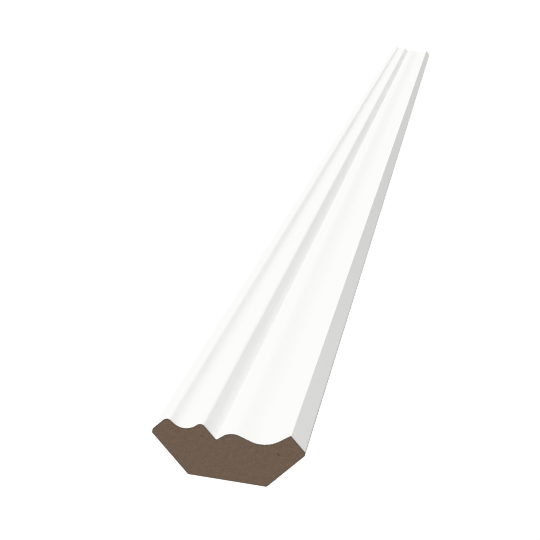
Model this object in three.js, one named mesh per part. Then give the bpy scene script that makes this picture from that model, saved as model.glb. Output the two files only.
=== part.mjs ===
// Crown moulding length: one stick of primed fibreboard trim for the corner between a wall and a
// ceiling, lying on its back flat with its moulded face up. The whole stick is one solid, a section
// run through a moulder and sawn square at both ends, and the white primer is only a colour on it.
//
// Frame: X runs across the stick from the wall edge (-X) to the ceiling edge (+X), Y runs along it and
// Z is up from the back flat. The origin is on the floor under the middle of the stick.
//
// The two bevels stand square to each other, because one lies on the wall and one on the ceiling.
// Two members of the face repeat a bevel's angle: the nose slope runs parallel to the ceiling bevel,
// and both the step beside the bead and the fillet face run parallel to the wall bevel.

import * as THREE from 'three';

// Stick, in millimetres
const LENGTH = 2438;
const BOARD_THICKNESS = 20.7;

// Angle between the back flat and the wall bevel, in degrees
const SPRING_ANGLE = 41.5;

// Square strip left on each thin edge, between the face and the bevel
const EDGE_FLAT = 1.4;

// Members of the face in order from the wall edge. A run is measured across the stick to the member's
// setting-out corner, a depth is measured down from the top of the board to that corner, and a radius
// rounds the corner off.
const NOSE_SLOPE_WIDTH = 7.15;
const NOSE_DEPTH = 0.35;
const NOSE_RADIUS = 2;

const COVE_RUN = 7;
const COVE_DEPTH = 5.1;
const COVE_RADIUS = 6.6;

const BEAD_RUN = 5.9;
const BEAD_DEPTH = 0.35;
const BEAD_RADIUS = 2;

const QUIRK_DEPTH = 5.95;
const QUIRK_RADIUS = 0.6;

const CREST_RUN = 4.85;
const CREST_DEPTH = 2.05;
const CREST_RADIUS = 6.5;

const HOLLOW_RUN = 13.4;
const HOLLOW_DEPTH = 6.3;
const HOLLOW_RADIUS = 12;

const ARRIS_RUN = 8.8;
const FILLET_FACE_WIDTH = 8.2;

// Largest turn between two facets of a rounded corner, in degrees
const FACET_TURN = 4;

const wallBevelSlope = THREE.MathUtils.degToRad(SPRING_ANGLE);
const ceilingBevelSlope = Math.PI / 2 - wallBevelSlope;

// Setting-out corners of the section, from the wall edge over the face to the ceiling edge and back
// along the underside. Each is { point, radius }, with x from the wall edge and y above the back flat.
function setOutSection() {
  const corners = [];
  const place = (x, y, radius = 0) => corners.push({ point: new THREE.Vector2(x, y), radius });

  // Wall edge, whose height follows from where the nose slope comes down to it
  const wallEdgeTop = BOARD_THICKNESS - NOSE_DEPTH - NOSE_SLOPE_WIDTH * Math.sin(ceilingBevelSlope);
  const wallEdgeBottom = wallEdgeTop - EDGE_FLAT;
  place(0, wallEdgeBottom);
  place(0, wallEdgeTop);

  // Nose, cove and bead
  let x = NOSE_SLOPE_WIDTH * Math.cos(ceilingBevelSlope);
  place(x, BOARD_THICKNESS - NOSE_DEPTH, NOSE_RADIUS);
  x += COVE_RUN;
  place(x, BOARD_THICKNESS - COVE_DEPTH, COVE_RADIUS);
  x += BEAD_RUN;
  place(x, BOARD_THICKNESS - BEAD_DEPTH, BEAD_RADIUS);

  // Step down into the quirk, parallel to the wall bevel
  x += (QUIRK_DEPTH - BEAD_DEPTH) / Math.tan(wallBevelSlope);
  place(x, BOARD_THICKNESS - QUIRK_DEPTH, QUIRK_RADIUS);

  // Cyma: the round crest, the long hollow and the sharp arris at full board thickness
  x += CREST_RUN;
  place(x, BOARD_THICKNESS - CREST_DEPTH, CREST_RADIUS);
  x += HOLLOW_RUN;
  place(x, BOARD_THICKNESS - HOLLOW_DEPTH, HOLLOW_RADIUS);
  x += ARRIS_RUN;
  place(x, BOARD_THICKNESS);

  // Fillet face down to the ceiling edge, parallel to the wall bevel
  x += FILLET_FACE_WIDTH * Math.cos(wallBevelSlope);
  const ceilingEdgeTop = BOARD_THICKNESS - FILLET_FACE_WIDTH * Math.sin(wallBevelSlope);
  const ceilingEdgeBottom = ceilingEdgeTop - EDGE_FLAT;
  place(x, ceilingEdgeTop);
  place(x, ceilingEdgeBottom);

  // Back flat, between the feet of the two bevels
  place(x - ceilingEdgeBottom / Math.tan(ceilingBevelSlope), 0);
  place(wallEdgeBottom / Math.tan(wallBevelSlope), 0);

  return { corners, width: x };
}

// Geometry of each corner's rounding: unit directions to its two neighbours, half the angle between
// them, and how far along them the arc begins. Two neighbouring arcs that ask for more than the
// straight between them share it out, so a radius is limited by the walls it joins.
function measureRoundings(corners) {
  const count = corners.length;
  const roundings = corners.map(({ point, radius }, i) => {
    const toPrevious = corners[(i + count - 1) % count].point.clone().sub(point);
    const toNext = corners[(i + 1) % count].point.clone().sub(point);
    const halfAngle = toPrevious.angleTo(toNext) / 2;
    return {
      point,
      toPrevious: toPrevious.clone().normalize(),
      toNext: toNext.clone().normalize(),
      straight: toNext.length(),
      halfAngle,
      setback: radius / Math.tan(halfAngle),
    };
  });
  const share = roundings.map(({ setback, straight }, i) => {
    const asked = setback + roundings[(i + 1) % count].setback;
    return asked > straight ? straight / asked : 1;
  });
  roundings.forEach((rounding, i) => {
    rounding.setback *= Math.min(share[(i + count - 1) % count], share[i]);
  });
  return roundings;
}

// Points of one corner: the corner itself where it is sharp, or else an arc from one tangent point to
// the other. The arc's centre is on the bisector, setback / cos(half angle) from the corner.
function roundCorner({ point, toPrevious, toNext, halfAngle, setback }) {
  if (setback === 0) return [point];
  const radius = setback * Math.tan(halfAngle);
  const bisector = toPrevious.clone().add(toNext).normalize();
  const centre = point.clone().addScaledVector(bisector, setback / Math.cos(halfAngle));
  const start = point.clone().addScaledVector(toPrevious, setback).sub(centre);
  const end = point.clone().addScaledVector(toNext, setback).sub(centre);
  const turn = Math.PI - 2 * halfAngle;
  const side = Math.sign(start.cross(end));
  const facets = Math.ceil(turn / THREE.MathUtils.degToRad(FACET_TURN));
  const startAngle = start.angle();
  return Array.from({ length: facets + 1 }, (_, k) => {
    const angle = startAngle + (side * turn * k) / facets;
    return new THREE.Vector2(Math.cos(angle), Math.sin(angle)).multiplyScalar(radius).add(centre);
  });
}

// The section is extruded along the stick, stood upright by a quarter turn about X, and centred
function runMoulding() {
  const { corners, width } = setOutSection();
  const outline = measureRoundings(corners).flatMap(roundCorner);
  const geometry = new THREE.ExtrudeGeometry(new THREE.Shape(outline), {
    depth: LENGTH,
    bevelEnabled: false,
  });
  geometry.rotateX(Math.PI / 2);
  geometry.translate(-width / 2, LENGTH / 2, 0);
  return geometry;
}

// Factory-primed fibreboard: a matt, slightly warm white
const primedFibreboard = new THREE.MeshStandardMaterial({
  color: '#f3f2ee',
  roughness: 0.6,
  metalness: 0,
});

const moulding = new THREE.Mesh(runMoulding(), primedFibreboard);
moulding.name = 'crown_moulding';

const group = new THREE.Group();
group.add(moulding);

export default group;
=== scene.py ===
# %% [markdown]
# # A length of primed crown moulding
#
# Crown moulding covers the corner between a wall and a ceiling. This one is MDF, a board pressed from
# wood fibre and glue. A moulder runs the board past spinning knives that cut the whole face in one
# pass, a coater lays white primer on that face, and a saw cuts the stick square at both ends.
#
# The stick is one solid, so this lesson makes one piece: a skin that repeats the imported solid's
# section, with its corners eased by sanding, closed at both ends by a sawn face that has real relief.

# %% Load the frame
import math

import bpy
import numpy as np
from mathutils import Matrix, Vector


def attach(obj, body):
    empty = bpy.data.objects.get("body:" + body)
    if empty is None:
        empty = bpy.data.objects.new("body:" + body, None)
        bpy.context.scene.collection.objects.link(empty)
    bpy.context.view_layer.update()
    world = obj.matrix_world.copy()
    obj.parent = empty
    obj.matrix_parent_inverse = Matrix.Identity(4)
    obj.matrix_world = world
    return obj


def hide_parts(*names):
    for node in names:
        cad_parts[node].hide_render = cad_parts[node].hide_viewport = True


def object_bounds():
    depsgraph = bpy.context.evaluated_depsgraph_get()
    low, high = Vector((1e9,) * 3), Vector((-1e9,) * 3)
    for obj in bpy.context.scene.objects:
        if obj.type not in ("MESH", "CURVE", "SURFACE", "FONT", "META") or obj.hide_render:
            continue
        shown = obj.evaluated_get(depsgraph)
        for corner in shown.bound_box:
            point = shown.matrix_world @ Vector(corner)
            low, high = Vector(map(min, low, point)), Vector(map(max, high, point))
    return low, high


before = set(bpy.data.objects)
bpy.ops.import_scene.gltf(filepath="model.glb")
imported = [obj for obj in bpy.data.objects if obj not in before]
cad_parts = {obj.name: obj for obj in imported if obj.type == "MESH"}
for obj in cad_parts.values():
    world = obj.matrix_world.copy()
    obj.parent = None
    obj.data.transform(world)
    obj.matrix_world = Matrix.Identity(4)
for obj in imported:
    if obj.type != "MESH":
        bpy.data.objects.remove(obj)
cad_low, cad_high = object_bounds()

MM = 0.001
STICK = "crown_moulding"

print("solid, mm:", [round((high - low) / MM, 1) for low, high in zip(cad_low, cad_high)])

# %% [markdown]
# ## Camera
#
# The stick lies on its back and the camera looks almost along it from a little above and to the right,
# so the near end is read as a section and the long lines run off to a vanishing point. How fast they
# close up sets the distance, and the two bevels, which are square to each other on a moulding that
# has to seat on a wall and a ceiling, set the lens. It is a long one, held with a slight roll.

# %% Place the camera
EYE = np.array([58.2, -1932.1, 209.7]) * MM
HEADING = math.radians(4.164)
PITCH = math.radians(-10.239)
ROLL = math.radians(8.06)
LENS = 133.83
SENSOR = 36.0
CLIP_START = 0.05
CLIP_END = 200.0


def place_camera():
    """Turns a camera that looks down -Z by the roll about its own axis, then up to the horizon and by
    the pitch about X, then by the heading about Z, and moves it to the eye."""
    data = bpy.data.cameras.new("long_lens")
    data.sensor_fit = "HORIZONTAL"
    data.sensor_width = SENSOR
    data.lens = LENS
    data.clip_start, data.clip_end = CLIP_START, CLIP_END
    camera = bpy.data.objects.new("camera", data)
    turn = Matrix.Rotation(HEADING, 4, "Z")
    turn = turn @ Matrix.Rotation(math.pi / 2 + PITCH, 4, "X") @ Matrix.Rotation(ROLL, 4, "Z")
    camera.matrix_world = Matrix.Translation(EYE) @ turn
    bpy.context.scene.collection.objects.link(camera)
    bpy.context.scene.camera = camera
    return camera


place_camera()
print("eye, mm:", (EYE / MM).round(1), "lens:", LENS)

# %% [markdown]
# ## The section
#
# From the wall edge the face runs: nose, cove, bead, a step down into a tight quirk, then the big cyma
# (a round crest that turns into a long hollow), a sharp arris and the fillet face. Below are the wall
# bevel, the back flat and the ceiling bevel. The outline could be drawn again here, but then it could
# drift from the solid. It is read off the solid's near end instead, so the skin always fits.

# %% Read the outline from the solid
HUB_HEIGHT = 0.5 * MM
SAME_PLACE = 0.001 * MM


def section_outline(solid):
    """Corners of the section as an N by 2 array of x and z, in order from the bottom of the wall edge
    over the face to the ceiling edge and back underneath. Seen from a hub just above the middle of the
    back, every corner has its own direction, so the order is the order of the polar angle."""
    points = np.empty(3 * len(solid.data.vertices))
    solid.data.vertices.foreach_get("co", points)
    points = points.reshape(-1, 3)
    near = points[points[:, 1] < points[:, 1].min() + SAME_PLACE][:, [0, 2]]
    corners = np.unique((near / SAME_PLACE).round().astype(int), axis=0) * SAME_PLACE
    back = corners[corners[:, 1] < HUB_HEIGHT]
    hub = np.array([back[:, 0].mean(), HUB_HEIGHT])
    x, z = (corners - hub).T
    return corners[np.argsort(-np.arctan2(z, x))]


outline = section_outline(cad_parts[STICK])
print("corners in the solid's section:", len(outline))

# %% [markdown]
# ## Eased corners
#
# No real corner is perfectly sharp: sanding and the coat of primer round it to a few tenths of a
# millimetre, and that is what makes an arris catch a thin line of light. Blurring the outline along
# its own length does this everywhere at once. It rounds a sharp corner, and hardly moves a straight
# or a broad curve.

# %% Ease the corners
FINE_STEP = 0.02 * MM
EASE = 0.07 * MM
NANOMETRE_DIGITS = 9


def along(points, closed):
    """Distance from the first point to each point, measured along the line, and once round if closed."""
    loop = np.vstack([points, points[:1]]) if closed else points
    return np.concatenate([[0.0], np.cumsum(np.linalg.norm(np.diff(loop, axis=0), axis=1))])


def eased(points):
    """The closed outline laid out in even fine steps, then convolved with a Gaussian of standard
    deviation EASE along its length. Each wave of the outline is multiplied by the Gaussian's own
    transform, exp(-(2 pi EASE / wavelength) squared / 2). Places are rounded to a nanometre."""
    distance = along(points, True)
    count = int(round(distance[-1] / FINE_STEP))
    even = np.arange(count) * distance[-1] / count
    loop = np.vstack([points, points[:1]])
    fine = np.stack([np.interp(even, distance, loop[:, i]) for i in range(2)], axis=1)
    waves = np.fft.rfftfreq(count, distance[-1] / count)[:, None]
    kept = np.exp(-((2 * np.pi * EASE * waves) ** 2) / 2)
    return np.fft.irfft(np.fft.rfft(fine, axis=0) * kept, count, axis=0).round(NANOMETRE_DIGITS)


fine_outline = eased(outline)
print("way round the outline, mm:", round(along(outline, True)[-1] / MM, 2))
print("arris lowered by, mm:", round((outline[:, 1].max() - fine_outline[:, 1].max()) / MM, 3))

# %% [markdown]
# ## Top line and bottom line
#
# Between its two thin edges the section has one height above and one below at every x. So it splits
# into a top line and a bottom line, and both are sampled at the same places across the stick. The
# places are chosen so that each step takes an equal share of length and of turning: broad where the
# face is straight, close together round the bead, the quirk and every arris.

# %% Sample the section
LONGEST_STEP = 0.55 * MM
LARGEST_TURN = math.radians(7)
EDGE_HALF = 0.3 * MM
TINY_RISE = 1e-15


def split_lines(loop):
    """Top line and bottom line of the loop, both from the wall edge to the ceiling edge. They leave
    the edges EDGE_HALF above and below the middle of each edge flat."""
    x, z = loop.T
    edges = [x.min(), x.max()]
    middles = [z[np.abs(x - edge) < SAME_PLACE].mean() for edge in edges]
    level = np.interp(x, edges, middles)
    start = int(np.argmin(np.hypot(x - x.min(), z - middles[0] - EDGE_HALF)))
    loop = np.roll(loop, -start, axis=0)
    level = np.roll(level, -start)
    above = loop[:, 1] >= level + EDGE_HALF - FINE_STEP
    below = loop[:, 1] <= level - EDGE_HALF + FINE_STEP
    return loop[above], loop[below][::-1]


def even_places(line):
    """Indices into the line, so that length / LONGEST_STEP + turn / LARGEST_TURN grows evenly."""
    step = np.diff(line, axis=0)
    heading = np.unwrap(np.arctan2(step[:, 1], step[:, 0]))
    turn = np.abs(np.diff(heading, prepend=heading[0]))
    cost = np.cumsum(np.linalg.norm(step, axis=1) / LONGEST_STEP + turn / LARGEST_TURN)
    wanted = np.linspace(0, cost[-1], int(cost[-1]) + 1)
    return np.unique(np.searchsorted(cost, wanted).clip(0, len(line) - 1))


top_fine, bottom_fine = split_lines(fine_outline)
top_line = top_fine[even_places(top_fine)]

# The bottom line is read at the top line's places, which needs an x that rises at every point
rising_x = np.maximum.accumulate(bottom_fine[:, 0]) + np.arange(len(bottom_fine)) * TINY_RISE
bottom_line = np.stack([top_line[:, 0], np.interp(top_line[:, 0], rising_x, bottom_fine[:, 1])], axis=1)
print("places across the stick:", len(top_line))
print("top from", (top_line[0] / MM).round(3), "to", (top_line[-1] / MM).round(3))
print("bottom from", (bottom_line[0] / MM).round(3), "to", (bottom_line[-1] / MM).round(3))

# %% [markdown]
# ## One grid for the section
#
# Joining each bottom point to the top point above it with evenly placed rows gives a grid over the
# whole section. Its border is the ring that the long skin is drawn from, and its inside becomes the
# sawn end, so skin and end share their points and the seam is closed without merging anything.

# %% Lay the section grid
ROWS = 30
CROWDING = 0.55

# Rows from 0 at the bottom line to 1 at the top line, mixed with 3 r^2 - 2 r^3 to crowd towards both
row = np.linspace(0, 1, ROWS)
rise = (1 - CROWDING) * row + CROWDING * row**2 * (3 - 2 * row)
places = bottom_line[:, None] * (1 - rise)[None, :, None] + top_line[:, None] * rise[None, :, None]
columns = len(places)

# Round the border: along the top, down the ceiling edge, back along the bottom, up the wall edge
across, upward = np.arange(columns), np.arange(1, ROWS - 1)
rim_column = np.concatenate(
    [across, np.full(ROWS - 2, columns - 1), across[::-1], np.zeros(ROWS - 2, int)]
)
rim_row = np.concatenate(
    [np.full(columns, ROWS - 1), upward[::-1], np.zeros(columns, int), upward]
)
rim = places[rim_column, rim_row]
print("section grid:", places.shape[:2], "points round the rim:", len(rim))

# %% [markdown]
# ## The sawn end
#
# A circular blade leaves faint arcs, and because MDF is only pressed fibre the cut has a short nap and
# a few pits where a bundle of fibre pulled out. The relief could be a bump in the material, but the
# mesh is a result in its own right, so it is real depth here: always inwards from the cut, and nothing
# at the rim, which stays the true section.

# %% Shape the relief of a sawn end
BLADE_RADIUS = 127 * MM
BLADE_AXIS_DROP = BLADE_RADIUS / 3
BLADE_PITCH = 2.3 * MM
SCORE_DEPTH = 0.016 * MM
NAP_DEPTH = 0.03 * MM
NAP_SIZE = (0.9 * MM, 3.5 * MM)
NAP_WAVES = 28
PIT_DEPTH = 0.16 * MM
PIT_SIZE = (0.28 * MM, 0.6 * MM)
PITS = 16
RIM_FADE = 0.6 * MM
SHORTEST_SIDE = 1e-6 * MM


def distance_to_rim(points):
    """Least distance from each point to the closed rim: to every side a + t (b - a) with t held between
    0 and 1, then the smallest over the sides. SHORTEST_SIDE keeps t finite on a side of no length."""
    start, side = rim, np.roll(rim, -1, axis=0) - rim
    offset = points[:, None] - start[None]
    share = (offset * side).sum(2) / (side**2).sum(1).clip(SHORTEST_SIDE**2)
    return np.linalg.norm(offset - share.clip(0, 1)[..., None] * side, axis=2).min(axis=1)


def sawn_relief(points, seed):
    """Depth below the cut at each point of the section. Scores are sin(2 pi c / BLADE_PITCH), with c the
    place of the blade's axis as its teeth pass the point: x less the square root of BLADE_RADIUS
    squared less (z + BLADE_AXIS_DROP) squared. Nap is a mean of sine waves with random directions,
    lengths and phases. A pit is a Gaussian dent. The sum is lifted to zero or more and fades out
    towards the rim."""
    random = np.random.default_rng(seed)
    x, z = points.T
    centre = x - np.sqrt(BLADE_RADIUS**2 - (z + BLADE_AXIS_DROP) ** 2)
    score = SCORE_DEPTH * np.sin(2 * np.pi * centre / BLADE_PITCH)
    heading, phase = random.uniform(0, 2 * np.pi, (2, NAP_WAVES))
    length = random.uniform(*NAP_SIZE, NAP_WAVES)
    travel = np.outer(x, np.cos(heading)) + np.outer(z, np.sin(heading))
    nap = NAP_DEPTH * np.sin(2 * np.pi * travel / length + phase).mean(1) * np.sqrt(NAP_WAVES)
    middle = points[random.integers(0, len(points), PITS)]
    size = random.uniform(*PIT_SIZE, PITS)
    apart = np.linalg.norm(points[:, None] - middle[None], axis=2)
    pits = PIT_DEPTH * np.exp(-((apart / size) ** 2)).sum(1)
    depth = np.maximum(SCORE_DEPTH + NAP_DEPTH + score + nap + pits, 0)
    return depth * (distance_to_rim(points) / RIM_FADE).clip(0, 1)


inside = places[1:-1, 1:-1].reshape(-1, 2)
near_relief = sawn_relief(inside, seed=3)
far_relief = sawn_relief(inside, seed=4)
print("relief of the near end, mm:", round(near_relief.max() / MM, 3), "deep at most")

# %% [markdown]
# ## The skin
#
# The rim is carried straight along the stick as a stack of rings. A moulder run is dead straight, so
# few rings are needed: they only cut the skin into bays for the texture map.

# %% Carry the rim along the stick
BAYS = 4
RINGS_IN_BAY = 6

ring_y = np.linspace(cad_low.y, cad_high.y, BAYS * RINGS_IN_BAY + 1)
rings, round_rim = len(ring_y), len(rim)


def with_y(points, y):
    """Section points x and z, given their place y along the stick."""
    return np.stack([points[..., 0], np.broadcast_to(y, points.shape[:-1]), points[..., 1]], axis=-1)


skin_points = with_y(np.broadcast_to(rim, (rings, round_rim, 2)), ring_y[:, None]).reshape(-1, 3)
near_points = with_y(inside, cad_low.y + near_relief)
far_points = with_y(inside, cad_high.y - far_relief)
all_points = np.concatenate([skin_points, near_points, far_points])


def end_numbers(first_on_rim, first_inside):
    """Point numbers over the section grid of one end: the ring's on the border, its own inside."""
    numbers = np.empty((columns, ROWS), int)
    numbers[rim_column, rim_row] = first_on_rim + np.arange(round_rim)
    numbers[1:-1, 1:-1] = (first_inside + np.arange(len(inside))).reshape(columns - 2, ROWS - 2)
    return numbers


def quads_of(numbers):
    """Corners of every cell of a grid of point numbers: (i, j), (i+1, j), (i+1, j+1), (i, j+1)."""
    corners = numbers[:-1, :-1], numbers[1:, :-1], numbers[1:, 1:], numbers[:-1, 1:]
    return np.stack(corners, axis=-1).reshape(-1, 4)


skin_numbers = np.arange(rings * round_rim).reshape(rings, round_rim)
skin_numbers = np.concatenate([skin_numbers, skin_numbers[:, :1]], axis=1)
skin_quads = quads_of(skin_numbers.T)
near_quads = quads_of(end_numbers(0, len(skin_points)))
far_quads = quads_of(end_numbers((rings - 1) * round_rim, len(skin_points) + len(inside)))[:, ::-1]
all_quads = np.concatenate([skin_quads, near_quads, far_quads])
print("points:", len(all_points), "faces:", len(all_quads))

# %% [markdown]
# ## What each place on the stick knows
#
# The finishes follow the shape. The coat thins on the two thin edges and stops a little way past them,
# and the thin edges' grey is also darkened as painted shade, for the shade that falls on them. The cut
# end is darkest in a narrow band along its rim, where moulding has packed the fibre. So each point
# carries three numbers: how far it lies from the rim of the section, how far underneath it lies past
# the primed edge, and whether it is on a thin edge, which gets the thin coat and the painted shade.

# %% Measure what the finishes need
EDGE_DEPTH = 0.05 * MM

distance_round = along(rim, True)
is_under = np.zeros(round_rim, bool)
first_under = columns + ROWS - 2
is_under[first_under : first_under + columns] = True
under_start, under_end = distance_round[:-1][is_under][[0, -1]]
under = np.minimum(distance_round[:-1] - under_start, under_end - distance_round[:-1]).clip(0)

from_rim = np.zeros(len(all_points))
from_rim[len(skin_points) :] = np.tile(distance_to_rim(inside), 2)
past_edge = np.zeros(len(all_points))
past_edge[: len(skin_points)] = np.tile(under, rings)
# On a thin edge or not: there the coat is thinner and its grey is darkened as painted shade
thin_coat_and_shade = np.zeros(len(all_points))
beside = np.minimum(rim[:, 0] - cad_low.x, cad_high.x - rim[:, 0]) < EDGE_DEPTH
thin_coat_and_shade[: len(skin_points)] = np.tile(beside, rings)
print("points of the rim on a thin edge:", beside.sum())
print("farthest past a primed edge, mm:", round(past_edge.max() / MM, 1))

# Slot of each face, in the order in which the finishes are added below
PRIMED_SLOT, BARE_SLOT, SAWN_SLOT = range(3)
# The skin's cells are numbered along the stick first, then round the rim
cell_round, cell_ring = np.divmod(np.arange(len(skin_quads)), rings - 1)
goes_under = is_under & np.roll(is_under, -1)
face_slot = np.full(len(all_quads), SAWN_SLOT)
face_slot[: len(skin_quads)] = np.where(goes_under[cell_round], BARE_SLOT, PRIMED_SLOT)
print("faces in each slot:", np.bincount(face_slot))

# %% [markdown]
# ## A flat map for the stick
#
# A stick forty times longer than it is wide would waste most of a square map. Cutting the skin into
# bays and stacking them as strips, with the two ends side by side above them, gives every millimetre
# about the same room, and the ends, which have the finest pattern, the most.

# %% Lay out the map
MAP_GAP = 0.004
STRIP_HEIGHT = 0.2


def map_places():
    """Map place of every face corner, as faces by 4 by 2. On the skin, the first axis runs along a bay
    and the second round the rim. An end is the section itself, scaled to half the map's width."""
    bay = (cell_ring // RINGS_IN_BAY)[:, None]
    ring_corner = cell_ring[:, None] + np.array([0, 0, 1, 1])
    rim_corner = cell_round[:, None] + np.array([0, 1, 1, 0])
    travelled = (ring_corner - bay * RINGS_IN_BAY) / RINGS_IN_BAY
    turned = distance_round[rim_corner] / distance_round[-1]
    skin = np.stack(
        [
            MAP_GAP + (1 - 2 * MAP_GAP) * travelled,
            MAP_GAP + STRIP_HEIGHT * bay + (STRIP_HEIGHT - MAP_GAP) * turned,
        ],
        axis=-1,
    )
    scale = (0.5 - 1.5 * MAP_GAP) / (cad_high.x - cad_low.x)
    floor_of_ends = STRIP_HEIGHT * BAYS + 2 * MAP_GAP
    ends = []
    for quads, first, side in ((near_quads, MAP_GAP, 1), (far_quads, 0.5 + MAP_GAP / 2, -1)):
        x, z = all_points[quads][..., 0], all_points[quads][..., 2]
        ends.append(
            np.stack([first + (side * x - cad_low.x) * scale, floor_of_ends + z * scale], axis=-1)
        )
    return np.concatenate([skin, *ends])


map_corners = map_places()
print("map from", map_corners.min((0, 1)).round(3), "to", map_corners.max((0, 1)).round(3))

# %% [markdown]
# ## The piece
#
# All that is left is to hand the arrays to a mesh. The skin is shaded smooth, because its steps are
# small, and stays crisp only where it meets the cut ends.

# %% Make the mesh
CRISP = math.radians(60)


def make_stick():
    """One closed mesh from the points and faces, with its slots, numbers and map."""
    mesh = bpy.data.meshes.new("primed_crown_moulding")
    mesh.from_pydata(all_points, [], all_quads)
    mesh.polygons.foreach_set("material_index", face_slot.astype(np.int32))
    mesh.polygons.foreach_set("use_smooth", np.ones(len(all_quads), bool))
    mesh.set_sharp_from_angle(angle=CRISP)
    knows = {"from_rim": from_rim, "past_edge": past_edge, "thin_coat_and_shade": thin_coat_and_shade}
    for name, numbers in knows.items():
        attribute = mesh.attributes.new(name, "FLOAT", "POINT")
        attribute.data.foreach_set("value", numbers.astype(np.float32))
    layer = mesh.uv_layers.new(name="OFBake")
    layer.uv.foreach_set("vector", map_corners.astype(np.float32).ravel())
    mesh.update()
    stick = bpy.data.objects.new("primed_crown_moulding", mesh)
    bpy.context.scene.collection.objects.link(stick)
    return stick


stick = make_stick()
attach(stick, "root")
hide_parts(STICK)
print("triangles:", 2 * len(all_quads))

# %% [markdown]
# ## Building materials
#
# Four small helpers serve every finish: one turns a colour as it is picked on a screen into the linear
# light that shaders add up, one adds a node with its settings and links, one starts a material, and
# one lays blotches of a real size, which can be long in one direction as streaks and fibres are.

# %% Helpers for finishes
def linear(hex_colour):
    """The linear colour of an sRGB hex value: v / 12.92 below 0.04045, or else
    ((v + 0.055) / 1.055) to the power 2.4, with full alpha."""
    value = np.array([int(hex_colour[i : i + 2], 16) for i in (1, 3, 5)]) / 255
    light = np.where(value < 0.04045, value / 12.92, ((value + 0.055) / 1.055) ** 2.4)
    return (*light.tolist(), 1.0)


def node(tree, kind, inputs=None, **settings):
    """Adds a node of that kind. Settings go on the node itself. Each input is named or numbered, and
    gets a link where it is given a socket, or else a value."""
    made = tree.nodes.new(kind)
    for name, value in settings.items():
        setattr(made, name, value)
    for name, value in (inputs or {}).items():
        if isinstance(value, bpy.types.NodeSocket):
            tree.links.new(value, made.inputs[name])
        else:
            made.inputs[name].default_value = value
    return made


def finish(name):
    """A new material with an empty tree, and that tree."""
    material = bpy.data.materials.new(name)
    material.use_nodes = True
    material.node_tree.nodes.clear()
    return material, material.node_tree


def blotches(tree, place, size, detail):
    """Noise from 0 to 1 whose blotches have the given size along x, y and z."""
    scale = {"Vector": place, "Scale": [1 / side for side in size]}
    scaled = node(tree, "ShaderNodeMapping", scale).outputs[0]
    noise = {"Vector": scaled, "Scale": 1.0, "Detail": detail}
    return node(tree, "ShaderNodeTexNoise", noise).outputs["Fac"]


print("mid grey #808080 as linear light:", round(linear("#808080")[0], 3))

# %% [markdown]
# ## Primer on moulded MDF
#
# Factory primer is a thin water-based coat, sprayed or curtain-coated and dried flat: matt, opaque and
# a slightly warm white. Close up it has a fine orange peel, faint streaks along the run, and beneath
# them the knife marks of the moulder, one small scallop for each knife that passed. They are a few
# thousandths of a millimetre deep, so they only soften the light. The marks are drawn at their real
# pitch, and the peel somewhat coarser than the real one so that it can show at all. The two thin edges
# get little more than what drifts past the face, so they are greyer and the board shows in streaks.
# Their grey is also darker than a thin coat alone would be: that part is painted shade, for the
# shade that falls on the thin edges.

# %% Mix the primer
PRIMER = "#f5f5f3"
PRIMER_THIN = "#f0f0ee"
# Grey of the thin edges: a thin coat, darkened further as painted shade
EDGE_COAT_AND_SHADE = "#bab8b3"
SHOWING_THROUGH = "#83766b"
EDGE_STREAK = (0.4 * MM, 2.5 * MM, 0.4 * MM)
EDGE_RANGE = (0.3, 0.7)
PEEL_SIZE = (0.9 * MM, 0.9 * MM, 0.9 * MM)
PEEL_DEPTH = 0.004 * MM
KNIFE_PITCH = 1.6 * MM
KNIFE_DEPTH = 0.004 * MM
KNIFE_WOBBLE = 0.6
STREAK_SIZE = (5 * MM, 160 * MM, 5 * MM)
WAVES_TO_SCALE = 2 * math.pi / 20


def knife_marks(tree, place):
    """Normal of shallow bands across the run. A Wave texture repeats every 2 pi / 20 of its scaled
    coordinate, which sets the pitch."""
    bands = {"Vector": place, "Scale": WAVES_TO_SCALE / KNIFE_PITCH, "Distortion": KNIFE_WOBBLE}
    marks = node(tree, "ShaderNodeTexWave", bands, bands_direction="Y").outputs["Fac"]
    return node(tree, "ShaderNodeBump", {"Height": marks, "Distance": KNIFE_DEPTH}).outputs[0]


def mix_primer():
    """Two close whites, the full coat and the thin one, mixed by streaks along the stick, and a greyer
    one on the thin edges, streaked with board and darkened as painted shade. Orange peel lies over the
    knife marks."""
    material, tree = finish("factory_primer_on_moulded_mdf")
    place = node(tree, "ShaderNodeTexCoord").outputs["Object"]
    streaks = blotches(tree, place, STREAK_SIZE, detail=2.0)
    whites = {"Factor": streaks, "A": linear(PRIMER), "B": linear(PRIMER_THIN)}
    coat = node(tree, "ShaderNodeMix", whites, data_type="RGBA").outputs["Result"]
    on_edge = node(tree, "ShaderNodeAttribute", attribute_name="thin_coat_and_shade").outputs["Fac"]
    gaps = {"Value": blotches(tree, place, EDGE_STREAK, detail=3.0)}
    gaps.update({"From Min": EDGE_RANGE[0], "From Max": EDGE_RANGE[1]})
    bald = node(tree, "ShaderNodeMapRange", gaps).outputs[0]
    # The thin edges' grey with the board showing through it: a thin coat, darkened as painted shade
    rubbed = {"Factor": bald, "A": linear(EDGE_COAT_AND_SHADE), "B": linear(SHOWING_THROUGH)}
    edge = node(tree, "ShaderNodeMix", rubbed, data_type="RGBA").outputs["Result"]
    thinned = {"Factor": on_edge, "A": coat, "B": edge}
    peel = {
        "Height": blotches(tree, place, PEEL_SIZE, detail=3.0),
        "Distance": PEEL_DEPTH,
        "Normal": knife_marks(tree, place),
    }
    look = {
        "Base Color": node(tree, "ShaderNodeMix", thinned, data_type="RGBA").outputs["Result"],
        "Roughness": 0.6,
        "IOR": 1.5,
        "Normal": node(tree, "ShaderNodeBump", peel).outputs[0],
    }
    shader = node(tree, "ShaderNodeBsdfPrincipled", look)
    node(tree, "ShaderNodeOutputMaterial", {"Surface": shader.outputs[0]})
    return material


stick.data.materials.append(mix_primer())
print("primer sends back:", [round(part, 2) for part in linear(PRIMER)[:3]])
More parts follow.
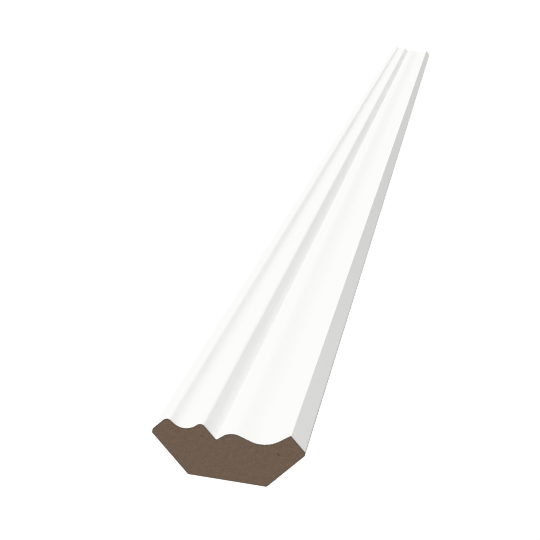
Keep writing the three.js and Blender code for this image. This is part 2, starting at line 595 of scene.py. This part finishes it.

# %% [markdown]
# ## Bare MDF with overspray
#
# The back and the two bevels never show once the stick is up, so they are left bare: smooth brown
# board with long pale and dark streaks where the knives have burnished it, over a fine speckle of
# fibre. A little primer always drifts round the thin edges and dries as a speckled fringe, dense at
# the edge and gone after a few millimetres. The fringe takes the thin edges' grey, which is darkened
# as painted shade.

# %% Leave the underside bare
BARE = "#b89e84"
BARE_SHADE = "#8b705a"
BURNISHED = "#927761"
BURNISH_SIZE = (2.5 * MM, 90 * MM, 2.5 * MM)
BURNISH_RANGE = (0.35, 0.8)
BURNISH_COVER = 0.7
SPECKLE_SIZE = (0.35 * MM, 1.4 * MM, 0.35 * MM)
FRINGE = 3.5 * MM
FRINGE_SPECK = (0.7 * MM, 0.7 * MM, 0.7 * MM)
FRINGE_EDGE = (0.05, 0.25)


def leave_bare():
    """Speckled board, darker in burnished streaks, under a fringe of primer in the thin edges' grey,
    which is darkened as painted shade. Primer covers the board where a noise from 0 to 1 is well above
    the way past the primed edge divided by FRINGE."""
    material, tree = finish("bare_moulded_mdf_with_overspray")
    place = node(tree, "ShaderNodeTexCoord").outputs["Object"]
    speckle = blotches(tree, place, SPECKLE_SIZE, detail=3.0)
    board = {"Factor": speckle, "A": linear(BARE), "B": linear(BARE_SHADE)}
    board_colour = node(tree, "ShaderNodeMix", board, data_type="RGBA").outputs["Result"]
    rubbed = {"Value": blotches(tree, place, BURNISH_SIZE, detail=3.0), "To Max": BURNISH_COVER}
    rubbed.update({"From Min": BURNISH_RANGE[0], "From Max": BURNISH_RANGE[1]})
    streaks = node(tree, "ShaderNodeMapRange", rubbed).outputs[0]
    streaked = {"Factor": streaks, "A": board_colour, "B": linear(BURNISHED)}
    underside = node(tree, "ShaderNodeMix", streaked, data_type="RGBA").outputs["Result"]
    way = node(tree, "ShaderNodeAttribute", attribute_name="past_edge").outputs["Fac"]
    fading = {0: way, 1: -1 / FRINGE, 2: blotches(tree, place, FRINGE_SPECK, detail=4.0)}
    faded = node(tree, "ShaderNodeMath", fading, operation="MULTIPLY_ADD").outputs[0]
    ragged = {"Value": faded, "From Min": FRINGE_EDGE[0], "From Max": FRINGE_EDGE[1]}
    cover = node(tree, "ShaderNodeMapRange", ragged).outputs[0]
    # The fringe's colour is the thin edges' grey, partly painted shade
    layers = {"Factor": cover, "A": underside, "B": linear(EDGE_COAT_AND_SHADE)}
    look = {
        "Base Color": node(tree, "ShaderNodeMix", layers, data_type="RGBA").outputs["Result"],
        "Roughness": 0.75,
        "IOR": 1.45,
        "Normal": knife_marks(tree, place),
    }
    shader = node(tree, "ShaderNodeBsdfPrincipled", look)
    node(tree, "ShaderNodeOutputMaterial", {"Surface": shader.outputs[0]})
    return material


stick.data.materials.append(leave_bare())
print("bare board sends back:", [round(part, 2) for part in linear(BARE)[:3]])

# %% [markdown]
# ## Sawn MDF
#
# The cut end shows the board's inside: an even grey brown, because fibre, glue and a little bark dust
# are pressed together, with a fine mottle and here and there a dark fleck of bark. The cut fibre is
# matt, like felt. Along the rim, the knives' pressure and the primer's water have closed the fibre,
# which reads as a thin darker line round the section.

# %% Saw the ends
SAWN = "#aa917c"
SAWN_SHADE = "#806854"
FIBRE_SIZE = (0.9 * MM, 0.35 * MM, 0.35 * MM)
RIM_DARK = "#634a39"
RIM_WIDTH = 0.55 * MM
BARK = "#4a3d35"
BARK_COVER = 0.8
BARK_EDGE = 0.4
# Bark flecks as x, z, length and width in mm and tilt in degrees, on the near end and on the far one
FLECKS = {
    -1: [
        (18.9, 12.95, 1.9, 0.45, 40),
        (10.9, 9.6, 0.7, 0.4, 20),
        (-9.8, 15.15, 2.4, 0.22, -12),
        (-2.2, 13.9, 0.7, 0.3, 30),
        (5.8, 14.9, 0.8, 0.25, 15),
    ],
    1: [(-14.0, 10.5, 1.0, 0.3, 35), (6.5, 5.2, 0.8, 0.3, -40), (15.2, 12.0, 0.6, 0.35, 10)],
}


def bark_flecks(tree, place):
    """How far inside a fleck a place is. Each fleck is an ellipsoid, and a Mapping of the texture type
    brings it to the unit ball, where 1 minus the length is above 0 inside."""
    deepest = None
    for end, flecks in FLECKS.items():
        for x, z, length, width, tilt in flecks:
            ball = {
                "Vector": place,
                "Location": (x * MM, end * cad_high.y, z * MM),
                "Rotation": (0.0, math.radians(tilt), 0.0),
                "Scale": (length * MM / 2, width * MM, width * MM / 2),
            }
            mapped = node(tree, "ShaderNodeMapping", ball, vector_type="TEXTURE").outputs[0]
            away = node(tree, "ShaderNodeVectorMath", {0: mapped}, operation="LENGTH").outputs["Value"]
            inside_it = node(tree, "ShaderNodeMath", {0: 1.0, 1: away}, operation="SUBTRACT").outputs[0]
            if deepest is not None:
                both = {0: deepest, 1: inside_it}
                inside_it = node(tree, "ShaderNodeMath", both, operation="MAXIMUM").outputs[0]
            deepest = inside_it
    return deepest


def saw_end():
    """Mottled board, darker towards the rim over RIM_WIDTH, and darkest on the flecks."""
    material, tree = finish("sawn_mdf_end_grain")
    place = node(tree, "ShaderNodeTexCoord").outputs["Object"]
    fibre = blotches(tree, place, FIBRE_SIZE, detail=3.0)
    board = {"Factor": fibre, "A": linear(SAWN), "B": linear(SAWN_SHADE)}
    board_colour = node(tree, "ShaderNodeMix", board, data_type="RGBA").outputs["Result"]
    way = node(tree, "ShaderNodeAttribute", attribute_name="from_rim").outputs["Fac"]
    closing = {"Value": way, "From Min": RIM_WIDTH, "From Max": 0.0}
    closed = node(tree, "ShaderNodeMapRange", closing, interpolation_type="SMOOTHSTEP").outputs[0]
    rimmed = {"Factor": closed, "A": board_colour, "B": linear(RIM_DARK)}
    rimmed_colour = node(tree, "ShaderNodeMix", rimmed, data_type="RGBA").outputs["Result"]
    barked = {"Value": bark_flecks(tree, place), "From Max": BARK_EDGE, "To Max": BARK_COVER}
    bark = node(tree, "ShaderNodeMapRange", barked).outputs[0]
    flecked = {"Factor": bark, "A": rimmed_colour, "B": linear(BARK)}
    look = {
        "Base Color": node(tree, "ShaderNodeMix", flecked, data_type="RGBA").outputs["Result"],
        "Roughness": 0.9,
        "IOR": 1.45,
    }
    shader = node(tree, "ShaderNodeBsdfPrincipled", look)
    node(tree, "ShaderNodeOutputMaterial", {"Surface": shader.outputs[0]})
    return material


stick.data.materials.append(saw_end())
print("finishes:", [material.name for material in stick.data.materials])

# %% [markdown]
# ## Studio
#
# White trim is photographed on white, with the background burnt out, and one large soft key from the
# upper left over an even fill. The key lights the level and left-facing members fully and passes over
# those that lean right, so the step and the fillet face separate by tone, and so does the thin edge,
# whose grey is also darkened as painted shade. A small card on the right of the near end lifts the
# fillet face a little where it starts. The background is a sweep, a floor that curves up into a wall
# far behind, so that no horizon shows. It glows by itself, so it takes no shadow, and it is hidden from
# the light that bounces about, so that it can be brighter than white without lighting the stick from
# below.

# %% Floor, fill, key and card
FLOOR_RADIUS = 15.0
SWEEP_RADIUS = 5.0
SWEEP_SIDES = 64
BEND_POINTS = 12
WALL_HEIGHT = 12.0
FLOOR_DROP = 0.05 * MM
FLOOR_GLOW = 1.32
FILL = 0.45
KEY = 0.87
KEY_SPREAD = math.radians(30)
KEY_LEAN = math.radians(29)
CARD_PLACE = Vector((0.4, cad_low.y + 0.05, 0.22))
CARD_AIM = Vector((cad_high.x, cad_low.y + 0.05, 0.0))
CARD_SIZE = 0.3
CARD_POWER = 0.1


def lay_floor():
    """A glowing studio sweep: a level floor just under the stick that turns up into a wall all round.
    Its side view is a line out to FLOOR_RADIUS, a quarter circle of SWEEP_RADIUS and the wall."""
    turn = np.linspace(0, 2 * np.pi, SWEEP_SIDES, endpoint=False)
    bend = np.linspace(0, np.pi / 2, BEND_POINTS)
    reach = np.append(FLOOR_RADIUS + SWEEP_RADIUS * np.sin(bend), FLOOR_RADIUS + SWEEP_RADIUS)
    height = np.append(SWEEP_RADIUS * (1 - np.cos(bend)), WALL_HEIGHT) - FLOOR_DROP
    x, y = np.outer(reach, np.cos(turn)), np.outer(reach, np.sin(turn))
    points = np.stack([x, y, np.broadcast_to(height[:, None], x.shape)], axis=-1).reshape(-1, 3)
    numbers = np.arange(x.size).reshape(x.shape)
    bands = quads_of(np.concatenate([numbers, numbers[:, :1]], axis=1))[:, ::-1]
    mesh = bpy.data.meshes.new("burnt_out_sweep")
    mesh.from_pydata(points, [], [numbers[0].tolist(), *bands.tolist()])
    floor = bpy.data.objects.new("burnt_out_sweep", mesh)
    bpy.context.scene.collection.objects.link(floor)
    floor.visible_diffuse = False
    floor.visible_glossy = False
    floor.visible_shadow = False
    material, tree = finish("burnt_out_white")
    glow = node(tree, "ShaderNodeEmission", {"Strength": FLOOR_GLOW})
    node(tree, "ShaderNodeOutputMaterial", {"Surface": glow.outputs[0]})
    mesh.materials.append(material)


def light_studio():
    """An even white fill from all round, and a wide sun that leans KEY_LEAN from the zenith towards
    the wall edge. A sun's strength counts light that arrives over the whole hemisphere, pi times what
    a white face then sends back, so KEY is multiplied by pi. The card is a square area light."""
    world = bpy.data.worlds.new("even_fill")
    world.use_nodes = True
    world.node_tree.nodes["Background"].inputs["Color"].default_value = (1, 1, 1, 1)
    world.node_tree.nodes["Background"].inputs["Strength"].default_value = FILL
    bpy.context.scene.world = world
    key = bpy.data.lights.new("soft_key", "SUN")
    key.energy = math.pi * KEY
    key.angle = KEY_SPREAD
    lamp = bpy.data.objects.new("soft_key", key)
    lamp.rotation_euler = (0.0, -KEY_LEAN, 0.0)
    bpy.context.scene.collection.objects.link(lamp)
    card = bpy.data.lights.new("card", "AREA")
    card.size = CARD_SIZE
    card.energy = CARD_POWER
    panel = bpy.data.objects.new("card", card)
    turn = (CARD_AIM - CARD_PLACE).to_track_quat("-Z", "Y").to_matrix().to_4x4()
    panel.matrix_world = Matrix.Translation(CARD_PLACE) @ turn
    panel.visible_camera = False
    bpy.context.scene.collection.objects.link(panel)


lay_floor()
light_studio()
print("fill:", FILL, "key:", KEY)

# %% [markdown]
# ## Exposure
#
# A camera doesn't clip white all at once: the highlights roll off along a shoulder. So the lit faces
# settle just under white and stay a shade darker than the burnt-out floor, while everything below
# them keeps its tone. Blue gives way a little sooner, which leaves the lit coat faintly warm.

# %% Shape the highlights
TONE_TOP = 1.3
LIT_WHITE = 1.1
# Scene light, then the tone it gets in red and green, and in blue
SHOULDER = [
    (0.0, 0.0, 0.0),
    (0.6, 0.6, 0.6),
    (0.76, 0.79, 0.79),
    (0.86, 0.895, 0.891),
    (0.93, 0.933, 0.92),
    (1.0, 0.956, 0.94),
    (1.08, 0.969, 0.953),
    (1.2, 0.9735, 0.957),
    (1.3, 1.0, 1.0),
]


def roll_off():
    """Puts the shoulder into the view curves: its second column for red and green, its third for blue.
    Both axes are linear light, the first divided by TONE_TOP."""
    view = bpy.context.scene.view_settings
    view.view_transform = "Standard"
    view.use_curve_mapping = True
    mapping = view.curve_mapping
    mapping.white_level = (TONE_TOP, TONE_TOP, TONE_TOP)
    for channel, column in enumerate((1, 1, 2)):
        points = mapping.curves[channel].points
        steps = [(step[0] / TONE_TOP, step[column]) for step in SHOULDER]
        for step in steps[1:-1]:
            points.new(*step)
        for point, step in zip(points, steps):
            point.location = step
            point.handle_type = "AUTO_CLAMPED"
    mapping.update()


roll_off()
light, warm, blue = np.array(SHOULDER).T
settled = [np.interp(LIT_WHITE, light, tone).round(3) for tone in (warm, blue)]
print("light", LIT_WHITE, "settles at", settled[0], "in red and green and", settled[1], "in blue")
